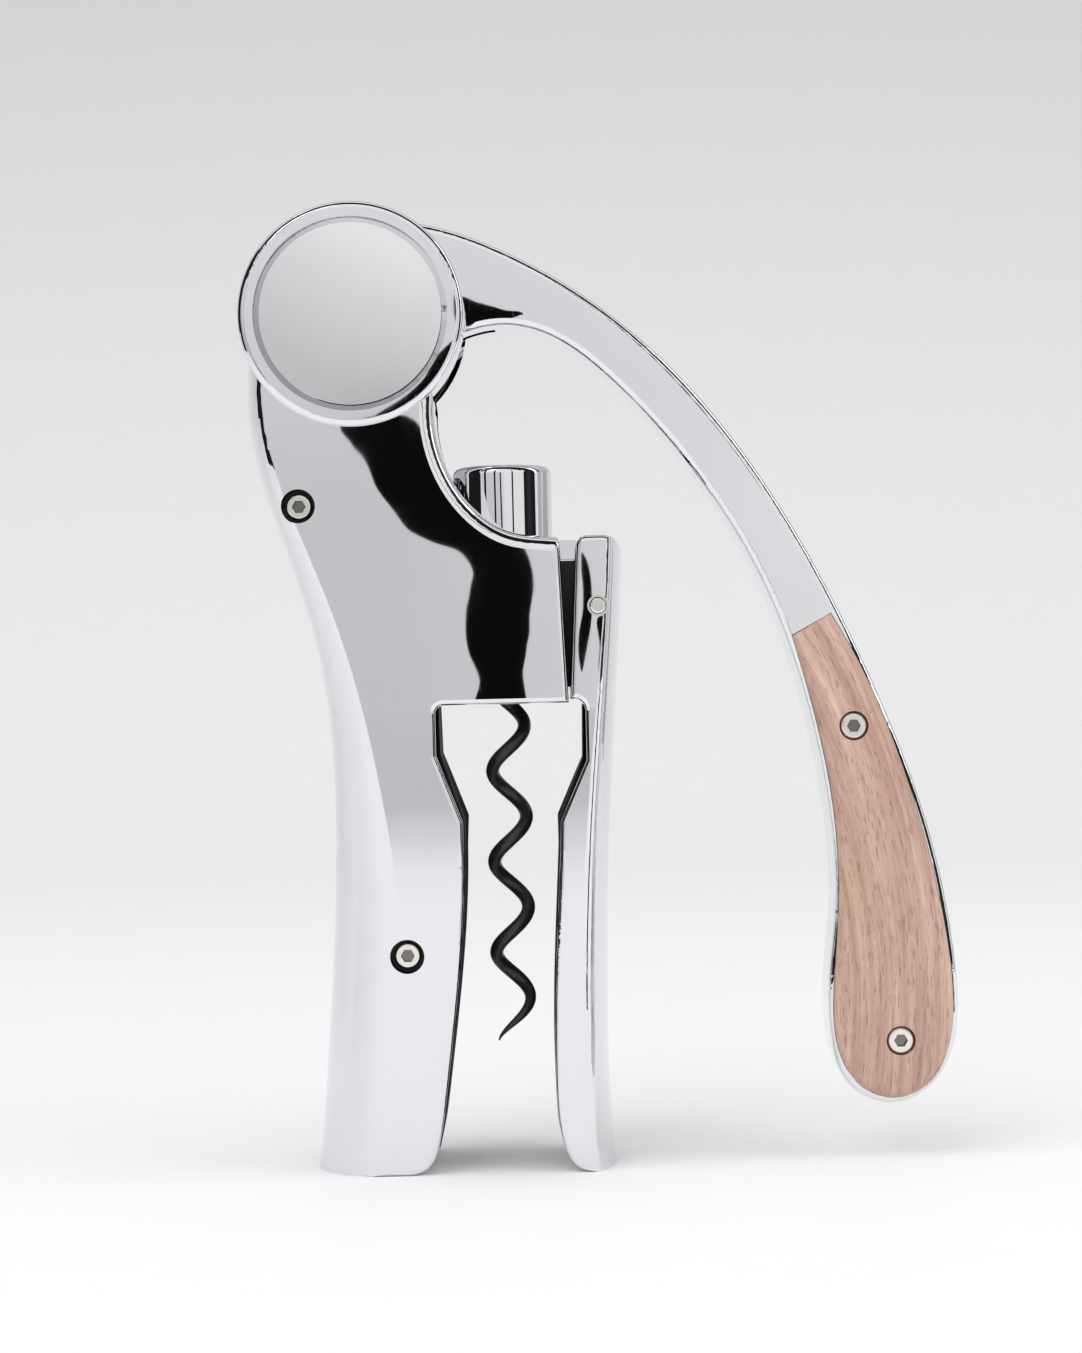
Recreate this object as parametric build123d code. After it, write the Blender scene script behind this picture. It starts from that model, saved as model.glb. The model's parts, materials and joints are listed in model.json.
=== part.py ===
from build123d import *
from math import acos, atan2, cos, degrees, pi, radians, sin, sqrt, tan
import os

# Lever corkscrew, in millimetres. The worm turns about the Z axis and the object stands on Z = 0.
# The lever is on the +X side. Side outlines are drawn in the XZ plane and Y is the thickness.

# Body and housing
HALF_THICK = 17.5
SECTION_HALF = 17.52
CHEEK_GAP = 7.6
PIVOT_X = -30.2
PIVOT_Z = 177.0
HOUSING_R = 23.2
RING_FACE = 18.5
DISC_R = 19.9
DISC_FACE = 18.1
DISC_FLOOR = 16.2
CHEEK_FLOOR_Z = 156.8
EDGE_R = 1.1
NECK_EDGE_R = 3.0
RING_EDGE_R = 1.4
DISC_BEVEL = 1.2

# Bottle grip
SEAT_Z = 96.3
CAVITY_R = 16.6
LINER_OUT_R = 16.5
LINER_IN_R = 15.3

# Worm and its nut
WIRE_R = 1.4
HELIX_R = 3.45
PITCH = 19.1
HELIX_ZERO_Z = 34.3
TIP_Z = 25.5
TAPER_TOP_Z = 38.0
HELIX_TOP_Z = 107.0
SHANK_R = 3.0
BOSS_R = 5.05
NUT_R = 11.4
NUT_TOP_Z = 104.2

# Carriage
COLUMN_R = 10.3
COLUMN_BORE_R = 10.5
COLUMN_LOW_Z = 105.6
COLUMN_TOP_Z = 146.0
RAIL_LOW_Z = 88.5
RAIL_TOP_Z = 171.0
RAIL_BACK_X = -17.7
RAIL_Y = (0.8, 5.8)
WEB_Z = (112.0, 140.0)
RACK_SCREW_Z = (118.0, 134.0)

# Gears, module 1. The compound pinion joins the ring gear to the rack.
MODULE = 1.0
RING_TEETH = 34
SMALL_TEETH = 10
LARGE_TEETH = 14
PRESSURE_ANGLE = radians(20)
BACKLASH = 0.22
RING_OUT_R = 19.3
RING_Y = (-4.4, 0.2)
SMALL_Y = (-4.2, 0.6)
LARGE_Y = (0.8, 5.8)
PINION_X = PIVOT_X + 1.5
PINION_Z = PIVOT_Z - sqrt(12.0**2 - 1.5**2)

# Shafts, pins and screws
AXLE_R = 3.5
SHAFT_R = 2.0
JAW_PIN = (19.2, 116.1)
JAW_PIN_R = 1.7
EYE_R = 3.0
LUG_HALF = 3.8
CREST_HALF = 4.9
CREST_Z = (126.2, 130.2)
RECESS_HALF = 5.4
GUARD_INNER_HALF = 4.0
RUNNING = 0.05
BODY_SCREWS = ((-41.8, 137.8), (-21.5, 45.0))
BODY_HOLE_R = 3.5
BODY_HEAD_Y = 15.3
HANDLE_SCREWS = ((71.9, 90.1), (80.2, 24.5))
HANDLE_HOLE_R = 3.05
HANDLE_HEAD_Y = 9.3
HEAD_R = 2.75
SHANK_SCREW_R = 1.5

# Handle
ARM_HALF = 7.0
FRAME_HALF = 8.3
WOOD_FLOOR = 5.6
WOOD_FACE = 9.8


def slab(face, y_low, y_high):
    """A side outline drawn in XZ, from y_low to y_high."""
    placed = Pos(0, y_low, 0) * (Plane.XZ * face)
    return extrude(placed, amount=y_high - y_low, dir=(0, 1, 0))


def rod_y(x, z, radius, y_low, y_high):
    """A round bar along Y."""
    return Pos(x, (y_low + y_high) / 2, z) * Rot(90, 0, 0) * Cylinder(radius, y_high - y_low)


def rod_z(radius, z_low, z_high):
    """A round bar on the worm's axis."""
    return Pos(0, 0, (z_low + z_high) / 2) * Cylinder(radius, z_high - z_low)


def block(x_range, y_range, z_range):
    """A rectangular block between pairs of limits."""
    size = [high - low for low, high in (x_range, y_range, z_range)]
    middle = [(high + low) / 2 for low, high in (x_range, y_range, z_range)]
    return Pos(*middle) * Box(*size)


def outline(*edges):
    """A face bounded by the given edges, which meet end to end."""
    return make_face(Wire(list(edges)))


def fillet_sides(solid, half, radius):
    """Round the edges where a side outline meets its two flat faces."""
    edges = [e for e in solid.edges() if abs(abs(e.center().Y) - half) < 0.01]
    return fillet(edges, radius)


# ---------------------------------------------------------------- body

# Back of the body: height, X of the rearmost line, and how far the back bulges behind the sides.
BACK_SECTIONS = (
    (0.0, -41.9, 17.2),
    (25.0, -39.3, 17.0),
    (50.0, -37.4, 15.6),
    (70.0, -36.7, 12.6),
    (90.0, -37.2, 9.4),
    (112.0, -40.5, 6.8),
    (136.0, -48.1, 5.2),
    (155.0, -52.6, 4.6),
    (177.0, -52.6, 4.6),
)


def back_section(z, back_x, bulge, front_x):
    """One level section: a round back, two flat sides and an open front cut later."""
    side_x = back_x + bulge
    arc = EllipticalCenterArc((side_x, 0), bulge, SECTION_HALF, 90, arc_size=180)
    half = SECTION_HALF
    rest = Polyline((side_x, -half), (front_x, -half), (front_x, half), (side_x, half))
    return Pos(0, 0, z) * make_face(Wire([arc] + list(rest.edges())))


def body_side():
    """Side outline of the body: foot, flange edge, lip window, head and neck."""
    foot = Spline((-21.6, 0), (-17.4, 2.2), (-15.4, 7.5), (-14, 16.5), (-11.5, 36), (-10, 52), (-9.5, 66))
    window = Polyline((-9.5, 66), (-9.5, 72.3), (-14.7, 86), (-14.7, 94.7))
    corner = ThreePointArc((-14.7, 94.7), (-14.23, 95.83), (-13.1, SEAT_Z))
    head = Polyline((-13.1, SEAT_Z), (12.8, SEAT_Z), (11.6, 130.4))
    neck = Spline((11.6, 130.4), (6.6, 130.8), (1.5, 131.8), (-5.9, 136.8), (-10.4, 143.2), (-13.5, 158.3))
    back = Polyline((-13.5, 158.3), (-14.5, 166), (-30, 177), (-70, 177), (-70, 0), (-21.6, 0))
    return outline(foot, *window.edges(), corner, *head.edges(), neck, *back.edges())


def body_lump():
    """The whole outside of the body before it is split and hollowed."""
    sections = [back_section(z, x, bulge, 30) for z, x, bulge in BACK_SECTIONS]
    prism = slab(body_side(), -HALF_THICK, HALF_THICK)
    side_edges = [e for e in prism.edges() if abs(abs(e.center().Y) - HALF_THICK) < 0.01]
    neck_edges = [e for e in side_edges if 132 < e.center().Z < 150 and -14 < e.center().X < 11]
    prism = fillet(neck_edges, NECK_EDGE_R)
    grip = loft(sections) & fillet_sides(prism, HALF_THICK, EDGE_R)
    housing = rod_y(PIVOT_X, PIVOT_Z, HOUSING_R, -RING_FACE, RING_FACE)
    rims = [e for e in housing.edges() if e.geom_type == GeomType.CIRCLE]
    housing = fillet(rims, RING_EDGE_R)
    return grip + housing


def inner_pocket(side):
    """Casting hollow behind the grip in one half, with a boss left round each body screw."""
    deep = 11.5
    y_range = (-deep, -1.8) if side < 0 else (1.8, deep)
    rear = Spline((-29.5, 6), (-28.2, 45), (-28.4, 80), (-32.5, 108), (-38.5, 132), (-43.5, 150))
    front = Polyline((-43.5, 150), (-28.5, 150), (-28.5, 90), (-20.5, 80), (-20.5, 6), (-29.5, 6))
    hollow = slab(outline(rear, *front.edges()), *y_range)
    for x, z in BODY_SCREWS:
        hollow -= rod_y(x, z, 6.0, *y_range)
    return hollow


def body_cuts():
    """Everything cut out of both halves of the body."""
    slot_z = (CHEEK_FLOOR_Z, PIVOT_Z + HOUSING_R + 5)
    cuts = block((-70, 0), (-CHEEK_GAP, CHEEK_GAP), slot_z)
    cuts += rod_z(CAVITY_R, -1, SEAT_Z)
    cuts += rod_z(NUT_R + RUNNING, SEAT_Z - 1, NUT_TOP_Z)
    cuts += rod_z(COLUMN_BORE_R, NUT_TOP_Z - 1, 205)
    for side in (-1, 1):
        low, high = sorted((side * DISC_FLOOR, side * (RING_FACE + 1)))
        cuts += rod_y(PIVOT_X, PIVOT_Z, DISC_R + RUNNING, low, high)
    cuts += rod_y(PIVOT_X, PIVOT_Z, AXLE_R, -DISC_FLOOR, DISC_FLOOR)
    for x, z in BODY_SCREWS:
        cuts += rod_y(x, z, SHANK_SCREW_R + RUNNING, -HALF_THICK, HALF_THICK)
        cuts += rod_y(x, z, BODY_HOLE_R, -HALF_THICK - 1, -BODY_HEAD_Y + 2.5)
        cuts += rod_y(x, z, BODY_HOLE_R, BODY_HEAD_Y - 2.5, HALF_THICK + 1)
    cuts += rod_y(*JAW_PIN, JAW_PIN_R, -6, 6)
    return cuts


def rail_channel():
    """Room in the far half for the rack rail, its web and the pinion shaft."""
    y_range = (RAIL_Y[0] - 0.5, RAIL_Y[1] + 0.5)
    channel = block((-24.2, RAIL_BACK_X + 0.5), y_range, (RAIL_LOW_Z - 1, 170))
    channel += block((-24.2, -5), y_range, (COLUMN_LOW_Z - 0.5, 170))
    channel += rod_y(PINION_X, PINION_Z, SHAFT_R, 0, 13)
    return channel


def hinge_lug():
    """Eye that stands out of the head and carries the jaw on its pin, and the crest that caps the slot."""
    x, z = JAW_PIN
    eye = Pos(x, z) * Circle(EYE_R)
    neck = Polyline((11, z - EYE_R), (x, z - EYE_R), (x, z + EYE_R), (11, z + EYE_R), close=True)
    crest = block((10.4, 15.1), (-CREST_HALF, CREST_HALF), CREST_Z)
    return slab(make_face(neck) + eye, -LUG_HALF, LUG_HALF) + crest


def slot_guard():
    """Black U-shaped guard in the slot between head and jaw, beside the eye and the spring."""
    side = Polyline((12.73, 99.5), (14.6, 99.5), (15.6, 108), (15.6, 125.9), (11.82, 125.9), close=True)
    guard = slab(make_face(side), -CREST_HALF, CREST_HALF)
    return guard - block((10, 17), (-GUARD_INNER_HALF, GUARD_INNER_HALF), (101.5, 127))


def body_halves():
    """Near and far castings, which meet on the plane Y = 0."""
    lump = body_lump() + hinge_lug() - body_cuts()
    near = lump & block((-80, 40), (-30, 0), (-5, 210))
    far = lump & block((-80, 40), (0, 30), (-5, 210))
    near -= inner_pocket(-1)
    far -= inner_pocket(1)
    far -= rail_channel()
    return near, far


def cover_disc(side):
    """Satin disc with a polished bevel, pressed into the housing ring over the axle."""
    low, high = sorted((side * (DISC_FLOOR + 0.1), side * DISC_FACE))
    disc = rod_y(PIVOT_X, PIVOT_Z, DISC_R, low, high)
    rim = [e for e in disc.edges() if abs(e.center().Y - side * DISC_FACE) < 0.01]
    return chamfer(rim, DISC_BEVEL)


def neck_liner(side_face):
    """Curved black pad inside the grip, cut to the same side outline as its casting."""
    tube = rod_z(LINER_OUT_R, 3.5, 95.8) - rod_z(LINER_IN_R, 2, 97)
    return tube & slab(side_face, -HALF_THICK, HALF_THICK)


def body_liner():
    edge = Spline((-16.3, 3), (-15.2, 7.5), (-13.8, 16.5), (-11.3, 36), (-9.8, 52), (-9.3, 66))
    rest = Polyline((-9.3, 66), (-9.0, 72.4), (-14.0, 86.1), (-14.2, 96), (-30, 96), (-30, 3), (-16.3, 3))
    return neck_liner(outline(edge, *rest.edges()))


# ---------------------------------------------------------------- fasteners


def socket_screw(x, z, head_y, tip_y):
    """Button-head screw with a hexagon socket, entering along +Y."""
    head = rod_y(x, z, HEAD_R, -head_y, -head_y + 2.2)
    rim = [e for e in head.edges() if abs(e.center().Y + head_y) < 0.01]
    head = fillet(rim, 0.55)
    socket = slab(Pos(x, z) * RegularPolygon(1.45, 6), -head_y - 1, -head_y + 1.3)
    return head - socket + rod_y(x, z, SHANK_SCREW_R, -head_y + 2, tip_y)


def barrel_nut(x, z, face_y, inner_y):
    """Round nut that takes the screw from the far side, with a hexagon socket of its own."""
    head = rod_y(x, z, HEAD_R, face_y - 2.2, face_y)
    rim = [e for e in head.edges() if abs(e.center().Y - face_y) < 0.01]
    head = fillet(rim, 0.55)
    socket = slab(Pos(x, z) * RegularPolygon(1.45, 6), face_y - 1.3, face_y + 1)
    return head - socket - rod_y(x, z, SHANK_SCREW_R, inner_y, face_y - 1.5)


def body_screws():
    return Compound([socket_screw(x, z, BODY_HEAD_Y, BODY_HEAD_Y - 2.5) for x, z in BODY_SCREWS])


def body_nuts():
    return Compound([barrel_nut(x, z, BODY_HEAD_Y, BODY_HEAD_Y - 3) for x, z in BODY_SCREWS])


def handle_screws():
    return Compound([socket_screw(x, z, HANDLE_HEAD_Y, HANDLE_HEAD_Y - 2.5) for x, z in HANDLE_SCREWS])


def handle_nuts():
    return Compound([barrel_nut(x, z, HANDLE_HEAD_Y, HANDLE_HEAD_Y - 3) for x, z in HANDLE_SCREWS])


# ---------------------------------------------------------------- gears


def tooth_half_angle(radius, pitch_r, thickness):
    """Half the angle of an involute tooth at a radius, for its thickness at the pitch circle."""
    base_r = pitch_r * cos(PRESSURE_ANGLE)
    angle = acos(base_r / max(radius, base_r))
    return thickness / (2 * pitch_r) + tan(PRESSURE_ANGLE) - PRESSURE_ANGLE - tan(angle) + angle


def gear_face(teeth, tip_r, root_r, thickness, first_angle):
    """Outline of an external gear, one tooth centred on first_angle."""
    pitch_r = MODULE * teeth / 2
    base_r = pitch_r * cos(PRESSURE_ANGLE)
    low_r = max(root_r, base_r)
    radii = [root_r] + [low_r + (tip_r - low_r) * k / 3 for k in range(4)]
    if root_r >= base_r:
        radii = radii[1:]
    flank = [(r, tooth_half_angle(r, pitch_r, thickness)) for r in radii]
    points = []
    for tooth in range(teeth):
        middle = first_angle + 2 * pi * tooth / teeth
        points += [(r * cos(middle - half), r * sin(middle - half)) for r, half in flank]
        points += [(r * cos(middle + half), r * sin(middle + half)) for r, half in reversed(flank)]
    return make_face(Polyline(*points, close=True))


def ring_gear():
    """Internal gear fixed in the lever's hub. A tooth space faces the pinion at rest."""
    toward_pinion = atan2(PINION_Z - PIVOT_Z, PINION_X - PIVOT_X)
    pitch_r = MODULE * RING_TEETH / 2
    space_width = pi * MODULE / 2 + BACKLASH / 2
    spaces = gear_face(RING_TEETH, pitch_r + 1.0, pitch_r - 0.5, space_width, toward_pinion)
    face = Circle(RING_OUT_R) - spaces
    return slab(Pos(PIVOT_X, PIVOT_Z) * face, *RING_Y)


def compound_pinion():
    """Small gear in the ring gear and large gear on the rack, in one piece with a bore."""
    toward_pinion = atan2(PINION_Z - PIVOT_Z, PINION_X - PIVOT_X)
    thickness = pi * MODULE / 2 - BACKLASH
    place = Pos(PINION_X, PINION_Z)
    small = gear_face(SMALL_TEETH, 5.7, 4.0, thickness, toward_pinion)
    large = gear_face(LARGE_TEETH, 7.7, 6.0, thickness, 0)
    gear = slab(place * small, *SMALL_Y) + slab(place * large, *LARGE_Y)
    gear += rod_y(PINION_X, PINION_Z, 3.9, SMALL_Y[1], LARGE_Y[0])
    return gear - rod_y(PINION_X, PINION_Z, SHAFT_R + RUNNING, -10, 10)


def rack_rail():
    """Toothed rail with a foot that bolts to the column. A tooth space faces the pinion at rest."""
    pitch_x = PINION_X + MODULE * LARGE_TEETH / 2
    pitch = pi * MODULE
    half = (pitch - BACKLASH) / 4
    slope = tan(PRESSURE_ANGLE)
    tip_x = pitch_x - 0.7
    root_x = pitch_x + 1.0
    tip_half = half - 0.7 * slope
    root_half = half + 1.0 * slope
    lowest = -int((PINION_Z - RAIL_LOW_Z - 1.5) / pitch)
    highest = int((RAIL_TOP_Z - PINION_Z - 1.5) / pitch)
    points = [(RAIL_BACK_X, RAIL_LOW_Z), (root_x, RAIL_LOW_Z)]
    for tooth in range(lowest, highest + 1):
        z = PINION_Z + (tooth + 0.5) * pitch
        if z + root_half < RAIL_TOP_Z:
            points += [(root_x, z - root_half), (tip_x, z - tip_half)]
            points += [(tip_x, z + tip_half), (root_x, z + root_half)]
    points += [(root_x, RAIL_TOP_Z), (RAIL_BACK_X, RAIL_TOP_Z)]
    rail = slab(make_face(Polyline(*points, close=True)), *RAIL_Y)
    web = block((RAIL_BACK_X, -6.5), RAIL_Y, WEB_Z)
    rail += web
    for z in RACK_SCREW_Z:
        rail -= Pos(-10, sum(RAIL_Y) / 2, z) * Rot(0, 90, 0) * Cylinder(1.25, 30)
        rail -= Pos(-19, sum(RAIL_Y) / 2, z) * Rot(0, 90, 0) * Cylinder(2.1, 4.5)
    return rail


def rack_screws():
    """Two cap screws that pull the rail's web against the column."""
    screws = []
    for z in RACK_SCREW_Z:
        place = Pos(0, sum(RAIL_Y) / 2, z)
        head = place * Pos(-17.9, 0, 0) * Rot(0, 90, 0) * Cylinder(1.9, 2.0)
        shank = place * Pos(-11.4, 0, 0) * Rot(0, 90, 0) * Cylinder(1.2, 11.8)
        screws.append(head + shank)
    return Compound(screws)


# ---------------------------------------------------------------- carriage and worm


def column():
    """Polished column that slides in the body, hollow for the worm's shank and bearing."""
    post = rod_z(COLUMN_R, COLUMN_LOW_Z, COLUMN_TOP_Z)
    top = [e for e in post.edges() if abs(e.center().Z - COLUMN_TOP_Z) < 0.01]
    post = fillet(top, 1.7)
    post -= block((-12, -6.5), (RAIL_Y[0] - 0.02, RAIL_Y[1] + 0.02), (WEB_Z[0] - 0.02, WEB_Z[1] + 0.02))
    post -= rod_z(8.0, COLUMN_LOW_Z - 1, 111.5)
    post -= rod_z(5.2, 111, 128.5)
    for z in RACK_SCREW_Z:
        post -= Pos(-6, sum(RAIL_Y) / 2, z) * Rot(0, 90, 0) * Cylinder(1.22, 1.2)
    return post


def helix_wire(radius, z_low, z_high):
    """Round wire wound on the worm's helix between two heights."""
    path = Helix(PITCH, z_high - z_low, HELIX_R)
    start = Plane(origin=path @ 0, z_dir=path % 0)
    wire = sweep(start * Circle(radius), path=path)
    turn = 360 * (z_low - HELIX_ZERO_Z) / PITCH
    return Pos(0, 0, z_low) * Rot(0, 0, turn) * wire


def worm_tip():
    """The wire's sharpened end, still on the helix."""
    path = Helix(PITCH, TAPER_TOP_Z - TIP_Z, HELIX_R)
    sections = []
    for share, radius in ((0, 0.16), (0.5, 0.95), (1, WIRE_R)):
        sections.append(Plane(origin=path @ share, z_dir=path % share) * Circle(radius))
    tip = sweep(sections, path=path, multisection=True)
    turn = 360 * (TIP_Z - HELIX_ZERO_Z) / PITCH
    return Pos(0, 0, TIP_Z) * Rot(0, 0, turn) * tip


def worm():
    """Open helix of round wire under a straight shank."""
    wire = helix_wire(WIRE_R, TAPER_TOP_Z, HELIX_TOP_Z) + worm_tip()
    boss = rod_z(BOSS_R, HELIX_TOP_Z - 1.8, 111.2)
    return wire + boss + rod_z(SHANK_R, 111, 126.5)


def worm_nut():
    """Fixed nut with a helical hole that turns the worm as the carriage falls."""
    disc = rod_z(NUT_R, SEAT_Z, NUT_TOP_Z)
    return disc - helix_wire(WIRE_R + 0.25, SEAT_Z - 8, NUT_TOP_Z + 8)


def worm_collar():
    """Collar pressed on the shank that lets the column lift the worm."""
    return rod_z(4.4, 113.5, 116.5) - rod_z(SHANK_R, 112, 118)


def shank_bush():
    """Plain bearing in the column that guides the worm's shank."""
    return rod_z(5.18, 117.0, 127.0) - rod_z(SHANK_R + RUNNING, 116, 128)


def bearing_cap():
    """Ring that closes the bottom of the column under the thrust washer."""
    return rod_z(7.98, COLUMN_LOW_Z + 0.2, 111.4) - rod_z(BOSS_R + 0.3, 100, 112)


def thrust_washer():
    return rod_z(5.15, 111.6, 113.4) - rod_z(SHANK_R + RUNNING, 110, 115)


# ---------------------------------------------------------------- lever


def lever_face():
    """Side outline of the lever: over the arch, round the handle's end and back up to the hub."""
    edge = Spline(
        (-30.2, 196.3), (-23.6, 197.6), (-16.9, 197.1), (0.2, 191.4), (23.8, 176.8), (47.2, 152.3),
        (64.5, 124.4), (75.9, 100.1), (87.2, 68.5), (92.2, 40), (92.3, 27.5), (88.8, 17.4), (79.3, 11.4),
        (69.5, 15.3), (65.9, 25.5), (65.5, 34), (67.2, 51), (66.5, 72.3), (61.6, 97.8), (53.5, 120.9),
        (41.7, 141.4), (23.8, 162.7), (7.5, 174.1), (-8.4, 173.2),
    )
    root = Polyline((-8.4, 173.2), (-12.1, 170.4), (-30.2, 177), (-30.2, 196.3))
    return outline(edge, *root.edges())


def thickness_profile():
    """The lever seen along X: its half thickness grows from the arch to the handle."""
    widths = ((ARM_HALF, 205), (ARM_HALF, 160), (7.3, 138), (8.05, 116), (FRAME_HALF, 96), (FRAME_HALF, 0))
    side = Spline(*widths)
    other_side = Spline(*[(-half, z) for half, z in reversed(widths)])
    foot = Line((FRAME_HALF, 0), (-FRAME_HALF, 0))
    top = Line((-ARM_HALF, 205), (ARM_HALF, 205))
    face = make_face(Wire([side, foot, other_side, top]))
    return Pos(-60, 0, 0) * extrude(Plane.YZ * face, amount=170)


def wood_face(gap):
    """Outline of the wood panel, drawn in from the chrome rim by a gap."""
    edge = Spline(
        (67.8 - gap, 113.7 - gap), (73.2 - gap, 103.8), (82.6 - gap, 79.8), (90.0 - gap, 48.7),
        (91.4 - gap, 36), (90.6 - gap, 24), (86.6, 16.0 + gap), (79.2, 12.5 + gap), (71.2, 15.6 + gap),
        (67.0 + gap, 24), (66.5 + gap, 34), (67.9 + gap, 52), (67.2 + gap, 73.9), (63.4 + gap, 94.5),
        (59.5 + gap, 109.2 - gap),
    )
    top = Line((59.5 + gap, 109.2 - gap), (67.8 - gap, 113.7 - gap))
    return outline(edge, top)


def hub_web():
    """Disc beside the ring gear, with a short sleeve on the axle."""
    web = rod_y(PIVOT_X, PIVOT_Z, RING_OUT_R, -ARM_HALF, RING_Y[0] - 0.1)
    sleeve = rod_y(PIVOT_X, PIVOT_Z, 5.6, -ARM_HALF, -0.2)
    return web + sleeve


def lever_arm():
    """Polished arm, one casting with its hub and the rims that hold the wood."""
    arm = slab(lever_face(), -12, 12) & thickness_profile()
    long_edges = [e for e in arm.edges() if abs(e.center().Y) > ARM_HALF - 0.2 and e.length > 20]
    arm = fillet(long_edges, 1.5)
    arm -= rod_y(PIVOT_X, PIVOT_Z, RING_OUT_R + 0.02, RING_Y[0] - 0.1, 12)
    arm -= rod_y(PIVOT_X, PIVOT_Z, 29.5, RAIL_Y[0] - 0.5, RAIL_Y[1] + 0.5)
    arm += hub_web()
    arm -= rod_y(PIVOT_X, PIVOT_Z, 4.9, -12, 2)
    for side in (-1, 1):
        low, high = sorted((side * WOOD_FLOOR, side * 12))
        arm -= slab(wood_face(0), low, high)
    for x, z in HANDLE_SCREWS:
        arm -= rod_y(x, z, SHANK_SCREW_R + RUNNING, -12, 12)
    return arm


def lever_bush():
    """Bearing sleeve pressed into the hub, running on the axle."""
    return rod_y(PIVOT_X, PIVOT_Z, 4.88, -ARM_HALF, -0.2) - rod_y(PIVOT_X, PIVOT_Z, AXLE_R + RUNNING, -12, 12)


def wood_scale(side):
    """Wood panel let into the handle, crowned at its edges."""
    low, high = sorted((side * (WOOD_FLOOR + 0.05), side * WOOD_FACE))
    panel = slab(wood_face(0.12), low, high)
    rim = [e for e in panel.edges() if abs(e.center().Y - side * WOOD_FACE) < 0.01]
    panel = fillet(rim, 1.3)
    for x, z in HANDLE_SCREWS:
        panel -= rod_y(x, z, SHANK_SCREW_R + RUNNING, -12, 12)
        low, high = sorted((side * (HANDLE_HEAD_Y - 2.3), side * 12))
        panel -= rod_y(x, z, HANDLE_HOLE_R, low, high)
    return panel


def pivot_axle():
    """Axle through both cheeks, hidden behind the cover discs."""
    return rod_y(PIVOT_X, PIVOT_Z, AXLE_R - 0.02, -DISC_FLOOR + 0.1, DISC_FLOOR - 0.1)


def axle_spacer():
    """Sleeve that keeps the hub over to the near cheek, clear of the large gear."""
    sleeve = rod_y(PIVOT_X, PIVOT_Z, 4.1, 0.4, CHEEK_GAP - 0.02)
    return sleeve - rod_y(PIVOT_X, PIVOT_Z, AXLE_R, -12, 12)


def pinion_shaft():
    """Stub shaft held by the far cheek."""
    return rod_y(PINION_X, PINION_Z, SHAFT_R - 0.005, SMALL_Y[0] + 0.1, 12.9)


# ---------------------------------------------------------------- jaw

# Front of the jaw: height, X of the foremost line, and how far it bulges past the sides.
FRONT_SECTIONS = (
    (-1.0, 20.9, 6.4),
    (18.0, 19.8, 6.2),
    (36.0, 19.8, 6.0),
    (60.0, 20.5, 5.6),
    (85.0, 22.0, 5.0),
    (104.0, 23.4, 4.4),
    (132.0, 24.9, 3.8),
)


def front_section(z, front_x, bulge):
    """One level section of the jaw, open toward the bottle."""
    side_x = front_x - bulge
    arc = EllipticalCenterArc((side_x, 0), bulge, SECTION_HALF, -90, arc_size=180)
    half = SECTION_HALF
    rest = Polyline((side_x, half), (-10, half), (-10, -half), (side_x, -half))
    return Pos(0, 0, z) * make_face(Wire([arc] + list(rest.edges())))


def jaw_side():
    """Side outline of the jaw: foot, flange edge, lip window, slot and rounded top."""
    foot = Spline((15.5, 0), (11.9, 1.6), (9.7, 6), (8.6, 14), (8.5, 26), (9.2, 46), (10.4, 66))
    window = Polyline((10.4, 66), (10.6, 72), (16.2, 84.4), (16.2, 94.6))
    step = ThreePointArc((16.2, 94.6), (15.6, 96.2), (13.1, 97.0))
    slot = Line((13.1, 97.0), (14.8, 127.9))
    corner = Spline((14.8, 127.9), (17.4, 130.6), tangents=((1.7, 30.9), (1, 0)))
    top = Line((17.4, 130.6), (20.2, 130.6))
    shoulder = ThreePointArc((20.2, 130.6), (23.31, 129.31), (24.6, 126.2))
    close = Polyline((24.6, 126.2), (34, 118), (34, 8), (24, 5))
    toe = Spline((24, 5), (18.5, 0), tangents=((-1, -1), (-1, 0)))
    sole = Line((18.5, 0), (15.5, 0))
    return outline(foot, *window.edges(), step, slot, corner, top, shoulder, *close.edges(), toe, sole)


def jaw_shell():
    """Front jaw, a channel that closes on the bottle's neck and hangs on one pin."""
    sections = [front_section(*row) for row in FRONT_SECTIONS]
    jaw = loft(sections) & fillet_sides(slab(jaw_side(), -HALF_THICK, HALF_THICK), HALF_THICK, EDGE_R)
    jaw -= rod_z(CAVITY_R, -2, SEAT_Z + 0.2)
    jaw -= block((10, 22.6), (-RECESS_HALF, RECESS_HALF), (108.5, 127.6))
    jaw -= block((10, 18), (-RECESS_HALF, RECESS_HALF), (98.8, 109))
    jaw -= block((10, 17.6), (-RECESS_HALF, RECESS_HALF), (127, 132))
    jaw -= rod_y(*JAW_PIN, 2.2, -HALF_THICK - 1, HALF_THICK + 1)
    return jaw


def jaw_liner():
    edge = Spline((11.8, 3), (9.5, 7), (8.5, 14), (8.3, 26), (9.0, 46), (10.15, 66))
    rest = Polyline((10.15, 66), (10.1, 72.2), (15.5, 84.8), (15.7, 96), (30, 96), (30, 3), (11.8, 3))
    return neck_liner(outline(edge, *rest.edges()))


def jaw_bushes():
    """Two sleeves in the jaw's walls that run on the pin."""
    sleeves = []
    for side in (-1, 1):
        low, high = sorted((side * 5.6, side * (HALF_THICK + 0.15)))
        bore = rod_y(*JAW_PIN, JAW_PIN_R + RUNNING, low - 1, high + 1)
        sleeves.append(rod_y(*JAW_PIN, 2.19, low, high) - bore)
    return Compound(sleeves)


def jaw_pin():
    pin = rod_y(*JAW_PIN, JAW_PIN_R, -HALF_THICK - 0.3, HALF_THICK + 0.3)
    ends = [e for e in pin.edges() if e.geom_type == GeomType.CIRCLE]
    return fillet(ends, 0.45)


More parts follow.
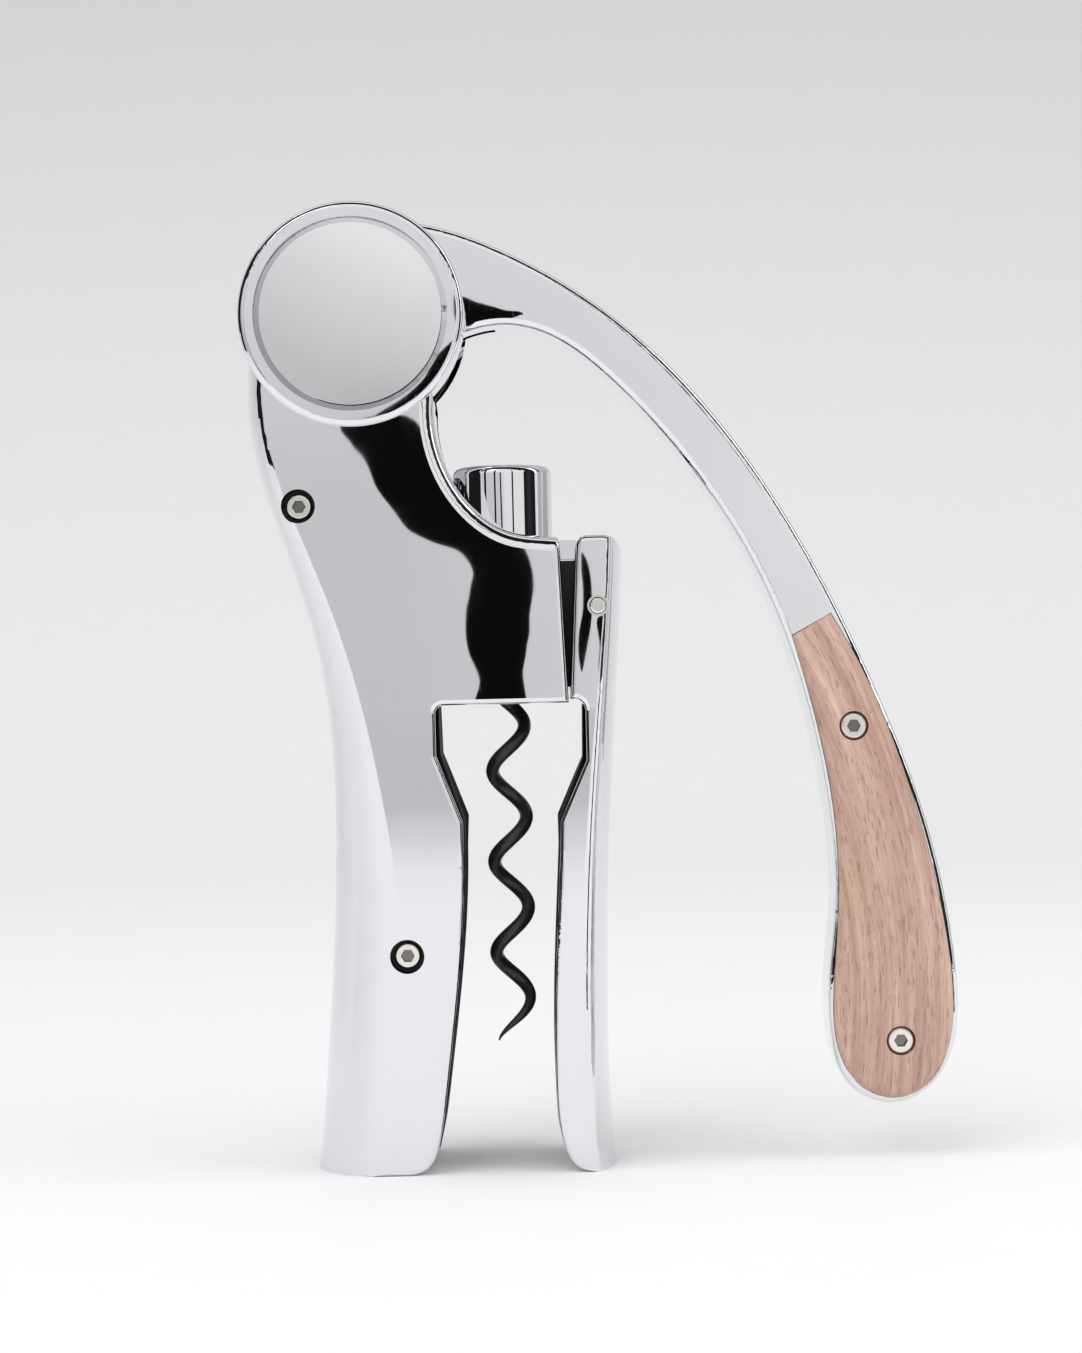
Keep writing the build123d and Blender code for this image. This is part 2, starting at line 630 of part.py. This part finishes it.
def jaw_spring():
    """Small spring above the pin that pushes the jaw's top away from the body."""
    turns = 4
    length = 7.6
    path = Helix(length / turns, length, 1.7)
    coil = sweep(Plane(origin=path @ 0, z_dir=path % 0) * Circle(0.3), path=path)
    return Pos(12.3, 0, 123.6) * Rot(0, 90, 0) * coil


def make_all():
    near, far = body_halves()
    return {
        "body_shell_near": near,
        "body_shell_far": far,
        "cover_disc_near": cover_disc(-1),
        "cover_disc_far": cover_disc(1),
        "body_screws": body_screws(),
        "body_screw_nuts": body_nuts(),
        "body_liner": body_liner(),
        "worm_nut": worm_nut(),
        "pivot_axle": pivot_axle(),
        "axle_spacer": axle_spacer(),
        "pinion_shaft": pinion_shaft(),
        "jaw_pin": jaw_pin(),
        "jaw_spring": jaw_spring(),
        "slot_guard": slot_guard(),
        "lever_arm": lever_arm(),
        "ring_gear": ring_gear(),
        "lever_bush": lever_bush(),
        "wood_scale_near": wood_scale(-1),
        "wood_scale_far": wood_scale(1),
        "handle_screws": handle_screws(),
        "handle_screw_nuts": handle_nuts(),
        "compound_pinion": compound_pinion(),
        "column": column(),
        "rack_rail": rack_rail(),
        "rack_screws": rack_screws(),
        "bearing_cap": bearing_cap(),
        "thrust_washer": thrust_washer(),
        "shank_bush": shank_bush(),
        "worm": worm(),
        "worm_collar": worm_collar(),
        "jaw_shell": jaw_shell(),
        "jaw_liner": jaw_liner(),
        "jaw_bushes": jaw_bushes(),
    }


os.makedirs("parts", exist_ok=True)
for node, shape in make_all().items():
    export_step(shape, f"parts/{node}.step")
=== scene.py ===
import json
from math import cos, pi, radians, sin

import bpy
from mathutils import Matrix, Vector


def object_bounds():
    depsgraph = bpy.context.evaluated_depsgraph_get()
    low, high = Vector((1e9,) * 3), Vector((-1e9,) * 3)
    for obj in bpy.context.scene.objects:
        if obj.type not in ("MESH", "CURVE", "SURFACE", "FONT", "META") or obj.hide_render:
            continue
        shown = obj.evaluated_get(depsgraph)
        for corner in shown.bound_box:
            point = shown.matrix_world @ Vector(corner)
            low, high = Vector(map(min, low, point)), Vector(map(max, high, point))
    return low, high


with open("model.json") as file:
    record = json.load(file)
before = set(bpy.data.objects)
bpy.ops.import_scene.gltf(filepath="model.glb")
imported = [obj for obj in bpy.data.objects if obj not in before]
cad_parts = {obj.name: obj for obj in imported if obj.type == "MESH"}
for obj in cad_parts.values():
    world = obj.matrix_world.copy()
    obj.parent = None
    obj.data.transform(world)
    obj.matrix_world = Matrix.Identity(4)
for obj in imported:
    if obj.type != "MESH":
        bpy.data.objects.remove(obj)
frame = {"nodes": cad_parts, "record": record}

CAD_BOX = [list(corner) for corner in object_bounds()]
MM = 0.001

# Places on the object that a finish needs, in metres: X and Z of each axis along Y, the radius round it,
# and how far from the middle plane a face lies.
COUNTERBORES = ((-0.0418, 0.1378), (-0.0215, 0.045))
COUNTERBORE_R = 0.00356
BODY_FACE_Y = 0.0173
BODY_SCREW_FACE_Y = 0.0152
HANDLE_SCREWS = ((0.0719, 0.0901), (0.0802, 0.0245))
HANDLE_SCREW_FACE_Y = 0.0092
SOCKET_R = 0.00148
DISC_AXIS = (-0.0302, 0.177)
BEVEL_START_R = 0.0187
# The arc that the wood's grain follows along the handle.
GRAIN_AXIS = (-0.070, 0.036)
GRAIN_R = 0.149

# ------------------------------------------------------------------ node helpers


class Graph:
    """A shader node tree. Each call below adds a node and gives its output."""

    def __init__(self, tree):
        self.nodes = tree.nodes
        self.links = tree.links

    def add(self, kind, **values):
        """A node of one kind. Names that are its own properties are set there, the rest on its sockets."""
        node = self.nodes.new(kind)
        for name, value in values.items():
            if hasattr(node, name):
                setattr(node, name, value)
            else:
                node.inputs[name.replace("_", " ")].default_value = value
        return node

    def feed(self, socket, value):
        """A number or a colour is set on the socket, and a node's output is linked to it."""
        if isinstance(value, tuple):
            socket.default_value = (*value, 1)
        elif isinstance(value, (int, float)):
            socket.default_value = value
        else:
            self.links.new(value, socket)

    def point(self):
        """The point on the surface, in the frame's metres."""
        return self.add("ShaderNodeTexCoord").outputs["Object"]

    def stretched(self, point, scale, turn=(0, 0, 0)):
        """A point scaled and turned, so that a texture is drawn out along a direction."""
        node = self.add("ShaderNodeMapping", Scale=scale, Rotation=turn)
        self.feed(node.inputs["Vector"], point)
        return node.outputs["Vector"]

    def parts(self, point):
        """The X, Y and Z outputs of a point."""
        node = self.add("ShaderNodeSeparateXYZ")
        self.feed(node.inputs["Vector"], point)
        return node.outputs

    def combine(self, *parts):
        """A point made from X, Y and Z. Those left out are 0."""
        node = self.add("ShaderNodeCombineXYZ")
        for socket, value in zip(node.inputs, parts):
            self.feed(socket, value)
        return node.outputs["Vector"]

    def noise(self, point, scale, detail=3.0, rough=0.55):
        node = self.add("ShaderNodeTexNoise", Scale=scale, Detail=detail, Roughness=rough)
        self.feed(node.inputs["Vector"], point)
        return node.outputs["Fac"]

    def span(self, value, low, high, out_low=0.0, out_high=1.0):
        """A value taken from one range to another."""
        node = self.add("ShaderNodeMapRange", From_Min=low, From_Max=high, To_Min=out_low, To_Max=out_high)
        self.feed(node.inputs["Value"], value)
        return node.outputs["Result"]

    def maths(self, operation, *values):
        node = self.add("ShaderNodeMath", operation=operation)
        for socket, value in zip(node.inputs, values):
            self.feed(socket, value)
        return node.outputs["Value"]

    def mix(self, factor, first, second):
        """A colour between two others."""
        node = self.add("ShaderNodeMix", data_type="RGBA")
        self.feed(node.inputs["Factor"], factor)
        self.feed(node.inputs[6], first)
        self.feed(node.inputs[7], second)
        return node.outputs[2]

    def from_axis(self, point, axis):
        """A point's X and Z from an axis along Y, and its distance from that axis."""
        parts = self.parts(point)
        x = self.maths("SUBTRACT", parts["X"], axis[0])
        z = self.maths("SUBTRACT", parts["Z"], axis[1])
        squares = self.maths("ADD", self.maths("MULTIPLY", x, x), self.maths("MULTIPLY", z, z))
        return x, z, self.maths("SQRT", squares)

    def bores(self, point, axes, radius, face_y):
        """1 inside round bores along Y that start at a face on either side, and 0 elsewhere."""
        inside = 0.0
        for axis in axes:
            distance = self.from_axis(point, axis)[2]
            inside = self.maths("MAXIMUM", inside, self.maths("LESS_THAN", distance, radius))
        from_middle = self.maths("ABSOLUTE", self.parts(point)["Y"])
        return self.maths("MULTIPLY", inside, self.maths("LESS_THAN", from_middle, face_y))


class Finish(Graph):
    """A material with one Principled shader."""

    def __init__(self, name):
        self.material = bpy.data.materials.new(name)
        self.material.use_nodes = True
        super().__init__(self.material.node_tree)
        self.shader = self.nodes["Principled BSDF"]

    def set(self, **values):
        """The shader's sockets, each given a number, a colour or a node's output."""
        for name, value in values.items():
            self.feed(self.shader.inputs[name.replace("_", " ")], value)

    def bump(self, height, strength, distance):
        node = self.add("ShaderNodeBump", Strength=strength, Distance=distance)
        self.feed(node.inputs["Height"], height)
        self.set(Normal=node.outputs["Normal"])


# ------------------------------------------------------------------ finishes


def chrome_plate():
    """Mirror chrome: faint haze, hairline scratches, a slight waviness, and painted shade in the
    counterbores.
    """
    finish = Finish("chrome_plate")
    point = finish.point()
    haze = finish.noise(point, 38.0, 4.0)
    hairs = finish.noise(finish.stretched(point, (1.0, 1.0, 0.06), (0, 0.5, 0.4)), 5200.0, 2.0)
    # Painted shade: inside the counterbores the colour is near black and the chrome rougher, standing in
    # for the shade in those recesses.
    painted_bore_shade = finish.bores(point, COUNTERBORES, COUNTERBORE_R, BODY_FACE_Y)
    soft = finish.span(haze, 0.35, 0.75, 0.006, 0.022)
    fine = finish.span(hairs, 0.66, 0.78, 0.0, 0.03)
    dull = finish.maths("MULTIPLY", painted_bore_shade, 0.4)
    rough = finish.maths("ADD", finish.maths("ADD", soft, fine), dull)
    tint = finish.mix(haze, (0.775, 0.78, 0.805), (0.81, 0.812, 0.83))
    tint = finish.mix(painted_bore_shade, tint, (0.05, 0.048, 0.046))
    finish.set(Base_Color=tint, Roughness=rough, Metallic=1.0)
    finish.bump(finish.noise(point, 55.0, 1.0), 0.06, 0.6 * MM)
    return finish.material


def satin_steel(name, low, high, scale, rough, sockets=()):
    """Turned steel: fine lines, a little colour change and uneven gloss. Screw sockets get painted shade.
    """
    finish = Finish(name)
    point = finish.point()
    lines = finish.noise(point, scale, 4.0)
    base = finish.mix(finish.noise(point, 120.0, 3.0), low, high)
    # Painted shade: the screw sockets are coloured dark grey, standing in for the shade inside them.
    for axes, face_y in sockets:
        base = finish.mix(finish.bores(point, axes, SOCKET_R, face_y), base, (0.20, 0.19, 0.18))
    gloss = finish.span(lines, 0.3, 0.7, rough * 0.75, rough * 1.3)
    finish.set(Base_Color=base, Roughness=gloss, Metallic=1.0)
    finish.bump(lines, 0.12, 0.03 * MM)
    return finish.material


def satin_disc():
    """Finely turned satin face, with painted light and shade that make it paler toward its upper right, and
    a polished bevel round it.
    """
    finish = Finish("satin_disc")
    point = finish.point()
    x, z, radius = finish.from_axis(point, DISC_AXIS)
    lines = finish.noise(finish.combine(radius), 9000.0, 3.0)
    satin = finish.span(lines, 0.3, 0.7, 0.13, 0.20)
    bevel = finish.maths("GREATER_THAN", radius, BEVEL_START_R)
    rough = finish.maths("MULTIPLY", satin, finish.span(bevel, 0, 1, 1.0, 0.08))
    # Painted light and shade: the base colour runs from darker at the lower left to paler toward the upper
    # right.
    painted_light_upper_right = finish.maths("ADD", finish.maths("MULTIPLY", x, 0.75), z)
    base = finish.mix(finish.span(painted_light_upper_right, -0.017, 0.020), (0.70, 0.70, 0.715), (0.96, 0.96, 0.965))
    cloud = finish.span(finish.noise(point, 55.0, 3.0), 0.3, 0.7, 0.0, 0.25)
    base = finish.mix(cloud, base, (0.80, 0.80, 0.81))
    finish.set(Base_Color=base, Roughness=rough, Metallic=1.0)
    finish.bump(lines, 0.05, 0.01 * MM)
    return finish.material


def black_coat():
    """Black coated steel of the worm: smooth, with a faint orange peel and uneven wear."""
    finish = Finish("black_coat")
    point = finish.point()
    wear = finish.noise(point, 160.0, 4.0)
    finish.set(
        Base_Color=finish.mix(wear, (0.010, 0.010, 0.011), (0.026, 0.026, 0.028)),
        Roughness=finish.span(wear, 0.3, 0.7, 0.30, 0.42),
    )
    finish.bump(finish.noise(point, 900.0, 3.0), 0.15, 0.05 * MM)
    return finish.material


def black_polymer():
    """Matt moulded plastic with a fine spark-eroded grain."""
    finish = Finish("black_polymer")
    point = finish.point()
    grain = finish.noise(point, 2600.0, 2.0)
    patch = finish.noise(point, 90.0, 3.0)
    finish.set(
        Base_Color=finish.mix(patch, (0.012, 0.012, 0.013), (0.028, 0.028, 0.03)),
        Roughness=finish.span(grain, 0.3, 0.7, 0.5, 0.68),
    )
    finish.bump(grain, 0.3, 0.06 * MM)
    return finish.material


def light_walnut():
    """Oiled light walnut: bands, dark streaks, short pores and pale flecks that run along the handle."""
    finish = Finish("light_walnut")
    point = finish.point()
    x, z, across = finish.from_axis(point, GRAIN_AXIS)
    along = finish.maths("MULTIPLY", finish.maths("ARCTAN2", z, x), GRAIN_R)
    grain = finish.combine(across, finish.parts(point)["Y"], along)

    def long_noise(along_scale, scale, detail, rough=0.5):
        return finish.noise(finish.stretched(grain, (1, 1, along_scale)), scale, detail, rough)

    bands = finish.span(long_noise(0.07, 210.0, 4.0, 0.6), 0.32, 0.68)
    streak = long_noise(0.022, 1000.0, 5.0, 0.7)
    streaks = finish.span(streak, 0.40, 0.72)
    pores = finish.span(long_noise(0.11, 2900.0, 3.0), 0.57, 0.67)
    flecks = finish.span(long_noise(0.25, 1500.0, 2.0), 0.62, 0.80, 0.0, 0.3)
    base = finish.mix(bands, (0.42, 0.262, 0.20), (0.71, 0.50, 0.405))
    base = finish.mix(finish.maths("MULTIPLY", streaks, 0.7), base, (0.36, 0.205, 0.15))
    base = finish.mix(finish.maths("MULTIPLY", pores, 0.6), base, (0.26, 0.145, 0.105))
    base = finish.mix(flecks, base, (0.82, 0.66, 0.57))
    rough = finish.span(streak, 0.3, 0.7, 0.50, 0.62)
    finish.set(Base_Color=base, Roughness=rough, Specular_IOR_Level=0.35)
    height = finish.maths("SUBTRACT", finish.maths("MULTIPLY", streaks, -0.25), pores)
    finish.bump(height, 0.45, 0.12 * MM)
    return finish.material


# Screw sockets whose colour is darkened as painted shade.
SHADED_SCREW_SOCKETS = ((COUNTERBORES, BODY_SCREW_FACE_Y), (HANDLE_SCREWS, HANDLE_SCREW_FACE_Y))
MATERIALS = {
    "chrome": chrome_plate(),
    "satin_disc": satin_disc(),
    "screw_steel": satin_steel(
        "screw_steel", (0.76, 0.74, 0.70), (0.84, 0.82, 0.785), 1800.0, 0.16, SHADED_SCREW_SOCKETS
    ),
    "plain_steel": satin_steel("plain_steel", (0.42, 0.42, 0.43), (0.52, 0.52, 0.53), 1500.0, 0.32),
    "black_steel": black_coat(),
    "black_plastic": black_polymer(),
    "bronze": satin_steel("sintered_bronze", (0.40, 0.27, 0.13), (0.52, 0.36, 0.19), 900.0, 0.42),
    "walnut": light_walnut(),
}


def dress_nodes():
    """Every CAD node keeps its shape and takes the finish of its slot."""
    slots = {row["node"]: row["material_slot"] for row in frame["record"]["subparts"]}
    for name, piece in frame["nodes"].items():
        piece.data.materials.clear()
        piece.data.materials.append(MATERIALS[slots[name]])
        for face in piece.data.polygons:
            face.material_index = 0


# ------------------------------------------------------------------ floor and wall

FLOOR_HALF_WIDTH = 6.0
FLOOR_START_Y = -8.0
CURVE_START_Y = 1.0
CURVE_R = 1.1
WALL_TOP = 6.0


def sheet(name, points, faces, material, smooth=False):
    """A piece of the studio, which is no part of the object."""
    mesh = bpy.data.meshes.new(name)
    mesh.from_pydata(points, [], faces)
    mesh.materials.append(material)
    for face in mesh.polygons:
        face.use_smooth = smooth
    piece = bpy.data.objects.new(name, mesh)
    bpy.context.scene.collection.objects.link(piece)
    return piece


def sweep_paper():
    """Pale paper with painted shade: it greys a little up the wall and, far in front, toward the dim end of
    the room.
    """
    finish = Finish("sweep_paper")
    point = finish.point()
    parts = finish.parts(point)
    # Painted shade: the paper's colour darkens up the wall and far in front, standing in for the light
    # falling off there.
    height = finish.span(parts["Z"], 0.0, 0.85)
    front = finish.span(parts["Y"], -0.95, -1.75)
    base = finish.mix(finish.noise(point, 60.0, 3.0), (0.875, 0.878, 0.885), (0.895, 0.898, 0.905))
    base = finish.mix(height, base, (0.66, 0.66, 0.665))
    base = finish.mix(front, base, (0.64, 0.64, 0.65))
    finish.set(Base_Color=base, Roughness=0.6, Specular_IOR_Level=0.2)
    return finish.material


def make_sweep():
    """Floor and wall in one sheet, joined by a wide curve, so that no horizon shows."""
    steps = 40
    profile = [(FLOOR_START_Y, 0.0), (-0.6, 0.0), (0.4, 0.0)]
    for k in range(steps + 1):
        angle = 0.5 * pi * k / steps
        profile.append((CURVE_START_Y + CURVE_R * sin(angle), CURVE_R * (1 - cos(angle))))
    profile.append((CURVE_START_Y + CURVE_R, WALL_TOP))
    sides = (-FLOOR_HALF_WIDTH, FLOOR_HALF_WIDTH)
    points = [(x, y, z + CAD_BOX[0][2]) for y, z in profile for x in sides]
    faces = [(2 * k, 2 * k + 1, 2 * k + 3, 2 * k + 2) for k in range(len(profile) - 1)]
    sheet("sweep", points, faces, sweep_paper(), smooth=True)


# ------------------------------------------------------------------ cards that show in the chrome

# Upright cards round the object: name, azimuth, width, lower and upper edge, distance and brightness.
# Azimuth 0 is the camera's side and 90 the +X side. Lengths are in metres.
CARDS = (
    ("left_card", -97, 0.30, 0.16, 0.9, 0.9, 0.01),
    ("right_near", 65, 0.05, 0.0, 0.5, 0.27, 0.03),
    ("right_grey", 118, 0.40, 0.0, 0.9, 0.9, 0.45),
    ("stripe_left", -40, 0.07, 0.12, 0.8, 0.8, 0.01),
    ("stripe_middle", -17, 0.055, 0.16, 0.8, 0.8, 0.01),
    ("stripe_right", 24, 0.05, 0.16, 0.8, 0.8, 0.01),
)
HOOP_R = 1.0
HOOP_HEIGHT = 0.1
HOOP_STEPS = 72
# Camera and cloths, in millimetres.
CAMERA_PLACE = (7.2, -618.0, 101.8)
CLOTH_Y = -700.0
# Dark shapes in the flat chrome, in millimetres: Y of the face that mirrors each one, then its X and Z.
DARK_SHAPES = {
    "neck": (-17.5, (
        (-32, 154), (-19, 156), (-12, 148), (-5, 137), (3, 129.5), (6.3, 122), (6.0, 113),
        (3.6, 104), (3.2, 95), (-5.0, 95), (-5.2, 101), (-7.6, 107), (-8.4, 113), (-6.8, 119),
        (-5.6, 124), (-9, 128.6), (-15, 130.6), (-21, 134), (-25, 141), (-27.5, 147), (-30.5, 150.5),
    )),
    "jaw_slot": (-17.5, (
        (16.0, 127), (17.4, 124), (17.8, 119), (17.2, 112), (16.4, 107),
        (15.4, 103), (15.2, 112), (16.2, 119), (15.8, 124),
    )),
    "jaw_pin": (-17.5, ((18.6, 114), (21.9, 114), (20.9, 108), (19.2, 103), (18.8, 108))),
    "hub": (-7.0, (
        (-7.8, 181.0), (-4, 179.4), (0.5, 177.9), (5, 176.4), (-2.8, 175.6), (-7.8, 175.0),
    )),
    "ring": (-18.5, (
        (-29, 153.9), (-24.5, 154.6), (-18.5, 157.2), (-13.2, 161.5), (-9.6, 166.6),
        (-8.8, 171), (-11.4, 168), (-15, 163.2), (-19.6, 159.4), (-24.8, 156.4),
    )),
}


def card_material(name, level):
    material = bpy.data.materials.new(name)
    material.use_nodes = True
    graph = Graph(material.node_tree)
    graph.nodes.clear()
    glow = graph.add("ShaderNodeEmission", Color=(level, level, level, 1))
    out = graph.add("ShaderNodeOutputMaterial")
    graph.feed(out.inputs["Surface"], glow.outputs["Emission"])
    return material


def make_card(name, points, faces, level):
    """A studio card that shows only in reflections."""
    card = sheet(name, points, faces, card_material(name, level))
    card.visible_camera = False
    card.visible_diffuse = False
    card.visible_shadow = False


def upright_card(name, azimuth, width, low, high, distance, level):
    turn = radians(azimuth)
    middle = Vector((sin(turn), -cos(turn), 0)) * distance
    side = Vector((cos(turn), sin(turn), 0)) * width / 2
    left, right = middle - side, middle + side
    corners = ((left, low), (right, low), (right, high), (left, high))
    make_card(name, [(foot.x, foot.y, z) for foot, z in corners], [(0, 1, 2, 3)], level)


def make_hoop():
    """Dark hoop round the line of sight: it draws the thin dark lines along rounded edges."""
    points, faces = [], []
    for k in range(HOOP_STEPS):
        turn = 2 * pi * k / HOOP_STEPS
        to_left = 0.5 - 0.5 * cos(turn)
        near_edge = -0.78 + 0.02 * to_left
        far_edge = -0.12 + 0.12 * to_left
        for y in (near_edge, far_edge):
            points.append((HOOP_R * cos(turn), y, HOOP_HEIGHT + HOOP_R * sin(turn)))
        after = (k + 1) % HOOP_STEPS
        faces.append((2 * k, 2 * k + 1, 2 * after + 1, 2 * after))
    make_card("hoop", points, faces, 0.015)


def smooth_loop(corners, steps):
    """A closed curve through the corners, as a list of points."""
    count = len(corners)
    points = []
    for k in range(count):
        before, start, end, after = (Vector(corners[(k + step) % count]) for step in (-1, 0, 1, 2))
        for step in range(steps):
            t = step / steps
            first = 2 * start + (end - before) * t
            second = (2 * before - 5 * start + 4 * end - after) * t * t
            third = (3 * start - before - 3 * end + after) * t * t * t
            points.append((first + second + third) / 2)
    return points


def make_dark_shapes():
    """Black cloths behind the camera, placed so that the flat chrome mirrors them."""
    eye = Vector(CAMERA_PLACE)
    for name, (mirror_y, corners) in DARK_SHAPES.items():
        reach = 1 + (mirror_y - CLOTH_Y) / (mirror_y - eye.y)
        points = []
        for x, z in smooth_loop(corners, 5):
            cloth_x = eye.x + (x - eye.x) * reach
            cloth_z = eye.z + (z - eye.z) * reach
            points.append((cloth_x * MM, CLOTH_Y * MM, cloth_z * MM))
        make_card("cloth_" + name, points, [tuple(range(len(points)))], 0.004)


# ------------------------------------------------------------------ light and camera

# The surround's colour by height, from level to overhead: height, red and green, blue.
SKY_LEVELS = ((0.0, 0.66, 0.67), (0.07, 0.68, 0.69), (0.17, 0.86, 0.87), (0.5, 1.0, 1.0), (1.0, 1.05, 1.05))
LIGHT_TARGET = Vector((0, 0, 0.1))
LENS_MM = 78.0
SENSOR_MM = 36.0
CAMERA_ROLL = radians(1.32)


def make_sky():
    """Even studio surround that is dimmer level with the camera and brighter overhead and toward +X."""
    world = bpy.data.worlds.new("studio")
    bpy.context.scene.world = world
    world.use_nodes = True
    graph = Graph(world.node_tree)
    parts = graph.parts(graph.add("ShaderNodeTexCoord").outputs["Generated"])
    ramp = graph.add("ShaderNodeValToRGB")
    for height, _, _ in SKY_LEVELS[1:-1]:
        ramp.color_ramp.elements.new(height)
    for stop, (_, grey, blue) in zip(ramp.color_ramp.elements, SKY_LEVELS):
        stop.color = (grey, grey, blue, 1)
    graph.feed(ramp.inputs["Fac"], parts["Z"])
    right = graph.span(parts["X"], -0.05, 0.12, 0.0, 0.8)
    back = graph.nodes["Background"]
    graph.feed(back.inputs["Color"], graph.mix(right, ramp.outputs["Color"], (0.95, 0.95, 0.95)))
    graph.feed(back.inputs["Strength"], 1.0)


def make_light(name, place, size, power):
    """A square soft light that faces the object."""
    data = bpy.data.lights.new(name, "AREA")
    data.shape = "RECTANGLE"
    data.size = size
    data.size_y = size
    data.energy = power
    light = bpy.data.objects.new(name, data)
    bpy.context.scene.collection.objects.link(light)
    light.location = place
    light.rotation_euler = (LIGHT_TARGET - Vector(place)).to_track_quat("-Z", "Y").to_euler()


def make_camera():
    """Long lens level with the middle of the object, rolled very slightly."""
    data = bpy.data.cameras.new("camera")
    data.lens = LENS_MM
    data.sensor_width = SENSOR_MM
    data.clip_start = 0.01
    data.clip_end = 200.0
    camera = bpy.data.objects.new("camera", data)
    bpy.context.scene.collection.objects.link(camera)
    right = (cos(CAMERA_ROLL), 0, -sin(CAMERA_ROLL))
    up = (sin(CAMERA_ROLL), 0, cos(CAMERA_ROLL))
    back = (0, -1, 0)
    turn = Matrix((right, up, back)).transposed().to_4x4()
    camera.matrix_world = Matrix.Translation(Vector(CAMERA_PLACE) * MM) @ turn
    bpy.context.scene.camera = camera


dress_nodes()
make_sweep()
make_sky()
make_camera()
make_hoop()
make_dark_shapes()
for card in CARDS:
    upright_card(*card)
make_light("key", (-0.5, -0.5, 1.1), 0.9, 4.5)
make_light("fill", (0.9, -0.3, 0.7), 0.8, 3.0)
bpy.context.scene.view_settings.view_transform = "Standard"
bpy.context.scene.view_settings.look = "None"
